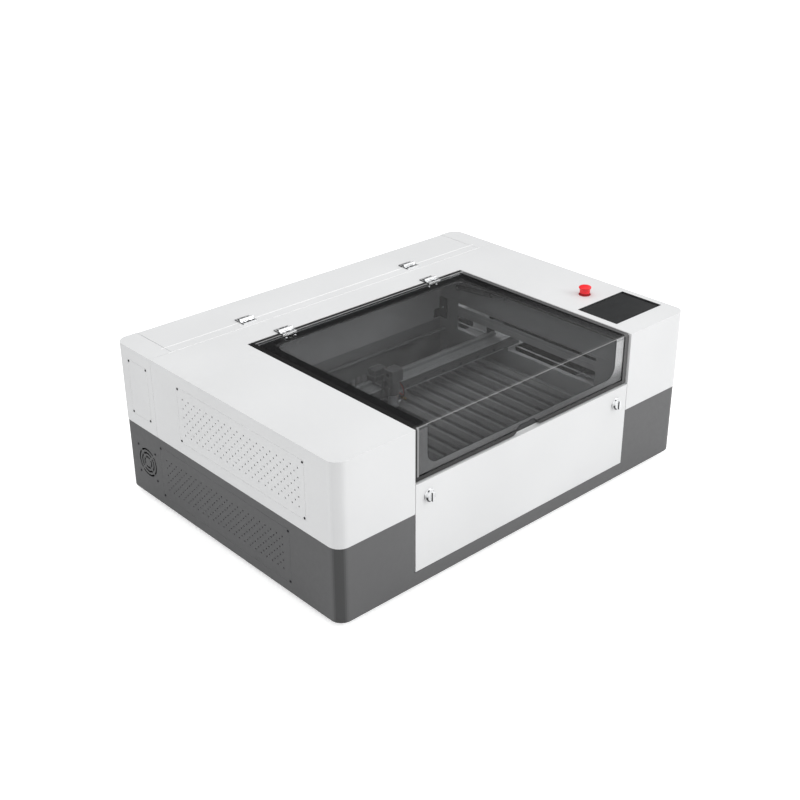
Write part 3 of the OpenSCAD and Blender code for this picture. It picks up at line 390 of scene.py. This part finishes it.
MATERIALS = {
    # edges painted white as a highlight; painted shade on the front and round the corners
    "white_paint": paint("white_powder_coat", WHITE, rough=0.46, wear_and_highlight=(0.7, 1.0), worn_and_lit_color=(1.0, 1.0, 1.0),
                         radius=1.1 * MM, recolor=painted_case_shade(0.96, 0.92)),
    # edges lighter, partly as a painted highlight; painted shade on the front and strongly round the
    # corners
    "grey_paint": paint("grey_powder_coat", GREY, rough=0.46, worn_and_lit_color=(0.2, 0.2, 0.205), sheen_level=0.35,
                        recolor=painted_case_shade(0.94, 0.52)),
    "chamber_paint": paint("chamber_paint", (0.50, 0.505, 0.51), rough=0.5, wear_and_highlight=(0.5, 0.9),
                           worn_and_lit_color=(0.7, 0.7, 0.7)),
    # lid_tones paints reflection, highlight and shade on the border
    "lid_paint": paint("lid_frame_paint", (0.012, 0.012, 0.013), rough=0.4, worn_and_lit_color=(0.05, 0.05, 0.05),
                       recolor=lid_tones),
    "motor_black": paint("motor_housing", (0.03, 0.03, 0.032), rough=0.45, worn_and_lit_color=(0.15, 0.15, 0.15)),
    "pan_zinc": metal("zinc_plate", (0.55, 0.56, 0.57), rough=0.38, grain=6 * MM, texture=0.05),
    "galvanised": metal("galvanised_sheet", (0.62, 0.63, 0.64), rough=0.36, grain=9 * MM, texture=0.05),
    "alu": metal("anodised_aluminium", (0.72, 0.73, 0.75), rough=0.34, brush=(0.04, 1, 1)),
    "steel": metal("ground_steel", (0.60, 0.61, 0.63), rough=0.25, brush=(0.1, 1, 1)),
    "brass_metal": metal("turned_brass", (0.74, 0.52, 0.22), rough=0.26, brush=(1, 8, 1)),
    "black_screw": metal("blackened_steel", (0.05, 0.05, 0.055), rough=0.35),
    "chrome_metal": chrome("polished_chrome"),
    "black_plastic": plastic("black_moulding", (0.022, 0.022, 0.024), rough=0.5),
    "screen_glass": plastic("display_window", (0.030, 0.031, 0.032), rough=0.12, texture=0.01, coat=0.5),
    "red_plastic": plastic("red_moulding", (0.86, 0.014, 0.022), rough=0.34, texture=0.04),
    "black_rubber": plastic("black_rubber", (0.02, 0.02, 0.02), rough=0.75, texture=0.4, grain=0.8 * MM),
    "board_green": plastic("solder_mask", (0.012, 0.10, 0.045), rough=0.35, coat=0.4),
    "smoked_acrylic": see_through("smoked_acrylic", (0.56, 0.565, 0.57), (0.97, 0.97, 0.97), haze=0.020,
                                  haze_and_highlight_color=(0.9, 0.9, 0.9), fold_highlight=0.24,
                                  window=(WINDOW_HIGH[0] - 27 * MM, WINDOW_HIGH[1] - 32 * MM)),
    "tube_glass": see_through("tube_glass", (0.90, 0.95, 0.96), (0.95, 0.97, 0.97), haze=0.02),
}
# painted highlight: edges turned almost white
GLEAM = {"wear_and_highlight": (0.8, 1.0), "worn_and_lit_color": BRIGHT_EDGE, "rough": 0.42, "texture": 0.05}
SATIN = paint("satin_aluminium", (0.50, 0.505, 0.51), **GLEAM)
DARK_SATIN = paint("satin_grey_aluminium", (0.34, 0.342, 0.345), **GLEAM)
OWN_MATERIALS = {
    "rear_bulkhead": paint("bulkhead_paint", (0.72, 0.725, 0.73), rough=0.5, worn_and_lit_color=(0.7, 0.7, 0.7),
                           recolor=bulkhead_tones),
    "estop_body": plastic("stop_switch_moulding", (0.022, 0.022, 0.024), rough=0.4, recolor=stop_tones),
    # painted shade: darker towards the front
    "table_slats": paint("blade_aluminium", (0.36, 0.362, 0.365), rough=0.4, worn_and_lit_color=(0.38, 0.38, 0.38),
                         texture=0.05, recolor=painted_front_shade((0.095, 0.095, 0.096))),
    "base_plate": paint("base_plate_paint", (0.60, 0.605, 0.61), rough=0.5),
    "table_frame": DARK_SATIN,
    # painted shade on the beam's front, painted highlight along its edges
    "gantry_beam": paint("beam_aluminium", (0.36, 0.365, 0.37), recolor=beam_painted_shade, **GLEAM),
    "gantry_carriages": DARK_SATIN,
    "x_rail": paint("rail_steel", (0.34, 0.345, 0.35), **GLEAM),
    "head_carriage": paint("head_castings", (0.17, 0.171, 0.173), **GLEAM),
    "y_rails": DARK_SATIN,
    "y_drive_shaft": DARK_SATIN,
    "drive_belts": plastic("grey_belt", (0.26, 0.262, 0.265), rough=0.6, texture=0.3),
    "strut_cylinders": paint("strut_lacquer", (0.12, 0.12, 0.122), rough=0.35),
}


def dress_cad_nodes():
    """Gives each CAD node the finish of its material slot."""
    slot_of = {s["node"]: s["material_slot"] for s in frame["record"]["subparts"]}
    for name, obj in frame["nodes"].items():
        obj.data.materials.clear()
        obj.data.materials.append(OWN_MATERIALS.get(name, MATERIALS[slot_of[name]]))


# ------------------------------------------------------------------ mesh pieces


def add_piece(name, mesh_data, materials, body):
    """Turns a bmesh into a piece that rides on a body."""
    mesh = bpy.data.meshes.new(name)
    mesh_data.to_mesh(mesh)
    mesh_data.free()
    obj = bpy.data.objects.new(name, mesh)
    bpy.context.scene.collection.objects.link(obj)
    for mat in materials:
        mesh.materials.append(mat)
    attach(obj, body)


def add_block(bm, low, high, round_by, material=0):
    """A block between two corners, with its edges rounded."""
    middle = [(a + b) / 2 for a, b in zip(low, high)]
    size = [b - a for a, b in zip(low, high)]
    place = Matrix.Translation(middle) @ Matrix.Diagonal((*size, 1))
    made = bmesh.ops.create_cube(bm, size=1, matrix=place)
    faces = {f for v in made["verts"] for f in v.link_faces}
    for face in faces:
        face.material_index = material
    edges = list({e for f in faces for e in f.edges})
    bmesh.ops.bevel(bm, geom=edges, offset=round_by, segments=3, profile=0.5, affect="EDGES")


def add_lathe(bm, profile, centre, axis="Z", steps=28, material=0, socket=0):
    """Turns a (radius, height) profile about an axis. When socket is given, the rings from that index on
    are hexagons, which makes a hex socket in a screw head."""
    turn = {"Z": Matrix.Identity(3), "-Y": Matrix.Rotation(math.pi / 2, 3, "X"),
            "-X": Matrix.Rotation(-math.pi / 2, 3, "Y")}[axis]
    rings = []
    for index, (radius, height) in enumerate(profile):
        ring = []
        for k in range(steps):
            angle = 2 * math.pi * k / steps
            reach = radius
            if socket and index >= socket:
                reach = radius * math.cos(math.pi / 6) / math.cos((angle % (math.pi / 3)) - math.pi / 6)
            ring.append(bm.verts.new(Vector(centre) + turn @ Vector((reach * math.cos(angle),
                                                                     reach * math.sin(angle), height))))
        rings.append(ring)
    for lower, upper in zip(rings, rings[1:]):
        for k in range(steps):
            face = bm.faces.new((lower[k], lower[(k + 1) % steps], upper[(k + 1) % steps], upper[k]))
            face.material_index = material
            face.smooth = True
    for ring in (rings[0][::-1], rings[-1]):
        bm.faces.new(ring).material_index = material


def add_tube(bm, points, radius, steps=10, material=0):
    """A round hose or wire swept smoothly through the points."""
    path = []
    per_span = 8
    points = [Vector(p) for p in points]
    ends = [points[0] * 2 - points[1]] + points + [points[-1] * 2 - points[-2]]
    for i in range(len(points) - 1):
        p0, p1, p2, p3 = ends[i:i + 4]
        for j in range(per_span):
            t = j / per_span
            path.append(0.5 * (2 * p1 + (p2 - p0) * t + (2 * p0 - 5 * p1 + 4 * p2 - p3) * t ** 2
                               + (3 * p1 - p0 - 3 * p2 + p3) * t ** 3))
    path.append(points[-1])
    side = (path[1] - path[0]).orthogonal()
    rings = []
    for i, here in enumerate(path):
        ahead = (path[min(i + 1, len(path) - 1)] - path[max(i - 1, 0)]).normalized()
        side = (side - ahead * side.dot(ahead)).normalized()
        up = ahead.cross(side)
        rings.append([bm.verts.new(here + radius * (side * math.cos(2 * math.pi * k / steps)
                                                    + up * math.sin(2 * math.pi * k / steps)))
                      for k in range(steps)])
    for lower, upper in zip(rings, rings[1:]):
        for k in range(steps):
            face = bm.faces.new((lower[k], lower[(k + 1) % steps], upper[(k + 1) % steps], upper[k]))
            face.material_index = material
            face.smooth = True
    for ring in (rings[0][::-1], rings[-1]):
        bm.faces.new(ring).material_index = material


def in_metres(profile):
    """A (radius, height) profile in millimetres, as metres."""
    return [(radius * MM, height * MM) for radius, height in profile]


SCREW_HEAD = in_metres([(3.1, 0), (3.1, 0.7), (2.6, 1.25), (1.7, 1.5), (1.5, 1.5), (1.4, 0.5)])


def dress_hinges():
    """Socket screws in the leaves' seats, and black blocks in the long recess between them as painted shade
    of that recess.
    """
    seat_z = TOP_Z + 1.8 * MM
    half_leaf, to_pin, pin_to_screws, screw_shift = 20 * MM, 7 * MM, 11.5 * MM, 13 * MM
    lid_low, lid_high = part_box("lid_hinge_leaves")
    cover_low, cover_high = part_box("cover_hinge_leaves")
    lid_x, lid_y = lid_high[0] - half_leaf, (lid_low[1] + lid_high[1]) / 2 + to_pin
    cover_x, cover_y = cover_high[0] - half_leaf, (cover_low[1] + cover_high[1]) / 2 - to_pin
    leaves = (("case", lid_x, lid_y, 1), ("lid", lid_x, lid_y, -1),
              ("case", cover_x, cover_y, -1), ("rear_cover", cover_x, cover_y, 1))
    meshes = {}
    for body, x, axis_y, side in leaves:
        bm = meshes.setdefault(body, bmesh.new())
        y = axis_y + side * pin_to_screws
        for mirror in (-1, 1):
            for shift in (-screw_shift, screw_shift):
                add_lathe(bm, SCREW_HEAD, (mirror * x + shift, y, seat_z), socket=4)
            # painted shade: a black block in the recess between the screws
            add_block(bm, (mirror * x - 6.3 * MM, y - 3.3 * MM, seat_z),
                      (mirror * x + 6.3 * MM, y + 3.3 * MM, seat_z + 1.5 * MM), 0.3 * MM, 1)
    for body, bm in meshes.items():
        add_piece("hinge_screws_" + body, bm, [MATERIALS["black_screw"], MATERIALS["black_plastic"]], body)


def bolt_lid_border():
    """Two dome nuts in front of each lid hinge."""
    bm = bmesh.new()
    dome = in_metres([(2.7, 0), (2.7, 0.6), (2.3, 1.1), (1.6, 1.5), (0.8, 1.75), (0.2, 1.8)])
    left_pair = ((-253.7, 134.5), (-229.4, 133.5))
    right_pair = ((202.3, 137.0), (226.8, 136.2))
    for x, y in left_pair + right_pair:
        add_lathe(bm, dome, (x * MM, y * MM, TOP_Z))
    add_piece("lid_border_bolts", bm, [MATERIALS["steel"]], "lid")


def back_vents():
    """Near-black mats behind the perforated panels, as painted shade in the holes."""
    shade_mat = plastic("vent_shade_mat", (0.012, 0.012, 0.012), rough=0.9, texture=0.6, grain=1.4 * MM)
    bm = bmesh.new()
    depth, inside, grow = 5 * MM, 3.1 * MM, 5 * MM
    low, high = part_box("upper_vent_panel")
    panels = [(low[0] + inside, low, high, 1)]
    low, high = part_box("lower_vent_panels")
    panels += [(low[0] + inside, low, high, 1), (high[0] - inside, low, high, -1)]
    for x, low, high, way in panels:
        add_block(bm, (min(x, x + way * depth), low[1] - grow, low[2] - grow),
                  (max(x, x + way * depth), high[1] + grow, high[2] + grow), 1 * MM)
    add_piece("vent_shade_mats", bm, [shade_mat], "case")


def trim_top_seams():
    """Bright strips that fill the two seams across the top, each with a thin lip over its front side, as
    painted highlights of the lit sheet edges there.
    """
    highlight_strip_paint = paint("seam_highlight", (0.95, 0.95, 0.95), rough=0.35)
    bm = bmesh.new()
    strip_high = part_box("hinge_strip")[1]
    case_seam = (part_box("upper_case")[1][1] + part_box("rear_housing")[0][1]) / 2
    cover_seam = (strip_high[1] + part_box("tube_cover")[0][1]) / 2
    x = strip_high[0]
    for y, half, lip in ((case_seam, 0.28 * MM, 0.9 * MM), (cover_seam, 0.5 * MM, 1.5 * MM)):
        add_block(bm, (-x, y - half, TOP_Z - 2 * MM), (x, y + half, TOP_Z + 0.25 * MM), 0.1 * MM)
        add_block(bm, (-x, y - half - lip, TOP_Z + 0.02 * MM), (x, y + half, TOP_Z + 0.5 * MM), 0.15 * MM)
    add_piece("top_seam_highlight_strips", bm, [highlight_strip_paint], "case")


def dress_head():
    """Pointer diode at the laser head, with its two wires."""
    low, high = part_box("head_carriage")
    middle = (low[0] + high[0]) / 2

    def at(right, behind, above, y=low[1]):
        return middle + right * MM, y + behind * MM, low[2] + above * MM

    red = plastic("red_wire", (0.62, 0.05, 0.04), rough=0.4)
    bm = bmesh.new()
    wire_r = 1.1 * MM
    add_tube(bm, [at(14, 14, 12), at(24, 6, 4), at(28, 14, 20), at(22, 30, 44), at(12, -22, 60, high[1])],
             wire_r)
    add_tube(bm, [at(10, 10, 10), at(20, 1, 6), at(25, 8, 24), at(18, 26, 46), at(9, -24, 60, high[1])],
             wire_r, material=1)
    diode = in_metres([(3.2, 0), (3.2, 14), (2.6, 15), (1.2, 15)])
    add_lathe(bm, diode, at(15, 4, 3), "-Y", material=2)
    add_piece("pointer_wires", bm, [red, MATERIALS["black_rubber"], MATERIALS["brass_metal"]], "head")


def dress_gantry():
    """Pale lips along the beam's two front edges, as painted highlights on those edges, with a row of
    screws between them.
    """
    low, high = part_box("gantry_beam")
    front, bottom, top = low[1], low[2], high[2]
    half, screw_pitch = 335 * MM, 60 * MM
    bm = bmesh.new()
    add_block(bm, (-half, front - 1.6 * MM, bottom + 0.2 * MM), (half, front - 0.2 * MM, bottom + 2.4 * MM),
              0.5 * MM)
    add_block(bm, (-half, front - 0.6 * MM, top - 1.2 * MM), (half, front + 1.4 * MM, top + 0.5 * MM),
              0.3 * MM)
    for k in range(-5, 6):
        screw_at = (k * screw_pitch, front - 0.1 * MM, bottom + 9 * MM)
        add_lathe(bm, SCREW_HEAD, screw_at, "-Y", material=1, socket=4)
    add_piece("beam_lip", bm, [SATIN, MATERIALS["black_screw"]], "gantry")


def hang_scrap_tray():
    """Sheet tray under the table frame that catches what falls between the slats."""
    low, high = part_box("table_slats")
    # painted shade: the tray is darker towards the front
    tray = paint("scrap_tray", (0.62, 0.625, 0.63), rough=0.5, recolor=painted_front_shade((0.20, 0.201, 0.203)))
    bm = bmesh.new()
    gap, sheet, depth = 1 * MM, 1.2 * MM, 7 * MM
    top = low[2] - 0.4 * MM
    front, back = low[1] + gap, high[1] - gap
    add_block(bm, (low[0] + gap, front, top - sheet), (high[0] - gap, back, top), 0.4 * MM)
    for x in (low[0] + gap, high[0] - gap - sheet):
        add_block(bm, (x, front, top - depth), (x + sheet, back, top), 0.4 * MM)
    add_piece("scrap_tray", bm, [tray], "table")


def narrow_wall_slots():
    """Lips that narrow the slots in the chamber walls to what the gantry and the laser ray need."""
    wall_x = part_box("chamber_walls")[1][0] - 12 * MM
    slot_front, slot_back = -345 * MM, 208 * MM
    beam_slot_low, beam_slot_high = 210 * MM, 274 * MM
    ray_z, ray_slot, ray_gap = 291 * MM, 10 * MM, 4 * MM
    clear, overlap, below_beam, above_beam = 4 * MM, 1.5 * MM, 3 * MM, 10 * MM
    beam_low, beam_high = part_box("gantry_beam")
    front = beam_low[1] + GANTRY_RANGE[0] - clear
    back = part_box("x_belt")[1][1] + GANTRY_RANGE[1] + clear
    bottom, top = beam_slot_low - overlap, ray_z + ray_slot + 1 * MM
    long_lips = ((bottom, beam_low[2] - below_beam), (beam_high[2] + above_beam, beam_slot_high + overlap),
                 (ray_z - ray_slot - 1 * MM, ray_z - ray_gap), (ray_z + ray_gap, top))
    end_plates = ((slot_front - 2 * MM, front - 0.3 * MM), (back + 0.3 * MM, slot_back + 2 * MM))
    bm = bmesh.new()
    for side in (-1, 1):
        x0, x1 = sorted((side * (wall_x - 1.3 * MM), side * (wall_x - 0.2 * MM)))
        for z0, z1 in long_lips:
            add_block(bm, (x0, front, z0), (x1, back, z1), 0.4 * MM)
        for y0, y1 in end_plates:
            add_block(bm, (x0, y0, bottom), (x1, y1, top), 0.4 * MM)
    # edges painted almost white as a highlight
    lip = paint("slot_lip", (0.50, 0.505, 0.51), **GLEAM)
    add_piece("slot_lips", bm, [lip], "case")


def back_exhaust_slots():
    """Pale filter mat behind the bulkhead's exhaust slots."""
    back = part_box("rear_bulkhead")[1][1]
    half, bottom, top = 145 * MM, 36 * MM, 159 * MM
    bm = bmesh.new()
    add_block(bm, (-half, back + 0.3 * MM, bottom), (half, back + 4 * MM, top), 1 * MM)
    mat = plastic("exhaust_foam", (0.60, 0.60, 0.605), rough=0.9, texture=0.6, grain=1.4 * MM)
    add_piece("exhaust_filter", bm, [mat], "case")


def mount_notch_shade():
    """Black block behind the notch in the lid, as painted shade of the dark gap under the lid."""
    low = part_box("lid_frame")[0]
    half = 41 * MM
    bm = bmesh.new()
    add_block(bm, (-half, low[1] + 6.0 * MM, low[2] + 1 * MM), (half, low[1] + 8.5 * MM, low[2] + 17 * MM),
              0.8 * MM)
    add_piece("lid_notch_shade", bm, [MATERIALS["black_plastic"]], "lid")


def dress_knobs():
    """Black arc round each knob's hub as painted shade, a black mark on its flange and a steel one on its
    hub.
    """
    ring_r, ring_start, ring_step = 11.2 * MM, 178, 6
    flange_mark = in_metres([(2.8, -0.4), (2.8, 0.5), (2.4, 0.8), (1.5, 0.8)])
    hub_mark = in_metres([(1.5, -0.4), (1.5, 0.4), (1.2, 0.6), (0.7, 0.6)])
    for node, body in (("door_knob_left", "knob_left"), ("door_knob_right", "knob_right")):
        low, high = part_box(node)
        x, z = (low[0] + high[0]) / 2, high[2] - 15 * MM
        flange, hub = low[1] + 9.8 * MM, low[1] + 3.9 * MM
        bm = bmesh.new()
        arc = []
        for k in range(13):
            angle = math.radians(ring_start + k * ring_step)
            arc.append((x + ring_r * math.cos(angle), hub + 3.0 * MM, z + ring_r * math.sin(angle)))
        # painted shade: a black arc round the hub
        add_tube(bm, arc, 2.2 * MM)
        add_lathe(bm, flange_mark, (x - 4.2 * MM, flange, z + 11.0 * MM), "-Y")
        add_lathe(bm, hub_mark, (x + 6.0 * MM, hub, z + 1.0 * MM), "-Y", material=1)
        add_piece("knob_shade_and_marks_" + body, bm, [MATERIALS["black_plastic"], MATERIALS["steel"]], body)


def mount_inner_bracket():
    """Folded bracket with a screw, in the chamber's rear right corner."""
    wall_x, wall_y = 343.5 * MM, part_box("rear_bulkhead")[0][1]
    foot, side_top, back_top, screw_z = 238 * MM, 296 * MM, 262 * MM, 268 * MM
    play, sheet = 0.3 * MM, 2.5 * MM
    right, rear = wall_x - play, wall_y - play
    bm = bmesh.new()
    add_block(bm, (right - sheet, wall_y - 29 * MM, foot), (right, rear, side_top), 0.6 * MM)
    add_block(bm, (wall_x - 22 * MM, rear - sheet, foot), (right, rear, back_top), 0.6 * MM)
    add_lathe(bm, SCREW_HEAD, (right - sheet, wall_y - 15 * MM, screw_z), "-X", material=1, socket=4)
    dark = paint("bracket_paint", (0.13, 0.13, 0.132), rough=0.45)
    add_piece("corner_bracket", bm, [dark, MATERIALS["steel"]], "case")


# ------------------------------------------------------------- camera and stage


def aim_camera():
    """The camera stands to the front left and looks down at the cabinet."""
    place = (-1.8601, -2.0164, 1.5925)
    azimuth, elevation, roll = math.radians(-42.33), math.radians(27.05), math.radians(-0.27)
    back = Vector((math.sin(azimuth) * math.cos(elevation), -math.cos(azimuth) * math.cos(elevation),
                   math.sin(elevation)))
    right = Vector((math.cos(azimuth), math.sin(azimuth), 0))
    up = back.cross(right)
    turn = Matrix((right, up, back)).transposed() @ Matrix.Rotation(roll, 3, "Z")
    camera = bpy.data.objects.new("camera", bpy.data.cameras.new("camera"))
    camera.data.lens = 57.16
    camera.data.sensor_width = 36
    camera.data.clip_end = 50
    camera.matrix_world = Matrix.Translation(place) @ turn.to_4x4()
    bpy.context.scene.collection.objects.link(camera)
    bpy.context.scene.camera = camera


def area_light(name, place, target, size, power):
    """A rectangular lamp at a place, facing its target."""
    light = bpy.data.lights.new(name, "AREA")
    light.shape = "RECTANGLE"
    light.size, light.size_y = size
    light.energy = power
    obj = bpy.data.objects.new(name, light)
    obj.location = place
    obj.rotation_euler = (Vector(target) - Vector(place)).to_track_quat("-Z", "Y").to_euler()
    bpy.context.scene.collection.objects.link(obj)
    return obj


def light_stage():
    """A white studio all round, which mirror-like surfaces see dim behind the machine and bright in front.
    Two softboxes light the machine, and a faint glow in each closed side compartment lifts the dark that
    shows through the wall slots."""
    world = bpy.data.worlds.new("studio")
    bpy.context.scene.world = world
    world.use_nodes = True
    world.cycles.sampling_method = "NONE"
    tree = world.node_tree
    coords = tree.nodes.new("ShaderNodeTexCoord")
    path = tree.nodes.new("ShaderNodeLightPath")
    mirrored = remap(tree, axis_of(tree, coords.outputs["Generated"], "Y"), 0.95, 0.07, 0.25, 0.55)
    dimming = math_node(tree, "MULTIPLY", path.outputs["Is Glossy Ray"], inverse(tree, mirrored))
    tree.links.new(inverse(tree, dimming), tree.nodes["Background"].inputs["Strength"])
    tree.nodes["Background"].inputs["Color"].default_value = (1, 1, 1, 1)
    centre = (0, 0, 0.2)
    area_light("front_softbox", (3.2, -5.0, 3.5), centre, (3.0, 2.6), 112)
    area_light("top_softbox", (0.2, 0.3, 3.2), centre, (2.2, 2.2), 14)
    for side in (-1, 1):
        glow = area_light("compartment_glow", (side * 0.48, -0.05, 0.37), centre, (0.05, 0.5), 1.1)
        inward_lean = side * 0.15
        glow.rotation_euler = (0, inward_lean, 0)
        glow.visible_camera = glow.visible_glossy = False


def lay_floor():
    """A pale floor. The camera alone sees it glow, which keeps the shadow on it faint, and mirror-like
    surfaces see it darker towards the left."""
    mesh = bpy.data.meshes.new("floor")
    half = 12
    corners = [(-half, -half, 0), (half, -half, 0), (half, half, 0), (-half, half, 0)]
    mesh.from_pydata(corners, [], [(0, 1, 2, 3)])
    floor = bpy.data.objects.new("floor", mesh)
    bpy.context.scene.collection.objects.link(floor)
    mat, tree, shader = new_material("pale_floor")
    shader.inputs["Roughness"].default_value = 0.9
    shader.inputs["Emission Color"].default_value = (1, 1, 1, 1)
    path = tree.nodes.new("ShaderNodeLightPath")
    tree.links.new(math_node(tree, "MULTIPLY", path.outputs["Is Camera Ray"], 0.42),
                   shader.inputs["Emission Strength"])
    bright = remap(tree, axis_of(tree, object_coords(tree), "X"), 0.10, 0.85, -1.4, 0.5)
    seen = math_node(tree, "MULTIPLY", path.outputs["Is Glossy Ray"], inverse(tree, bright))
    tree.links.new(mix_color(tree, seen, (0.97, 0.97, 0.97), (0, 0, 0)), shader.inputs["Base Color"])
    mesh.materials.append(mat)


dress_cad_nodes()
dress_hinges()
bolt_lid_border()
back_vents()
trim_top_seams()
dress_head()
dress_gantry()
hang_scrap_tray()
narrow_wall_slots()
back_exhaust_slots()
mount_notch_shade()
dress_knobs()
mount_inner_bracket()
aim_camera()
light_stage()
lay_floor()

scene = bpy.context.scene
scene.view_settings.view_transform = "Standard"
scene.cycles.use_denoising = True
scene.cycles.transparent_max_bounces = 16
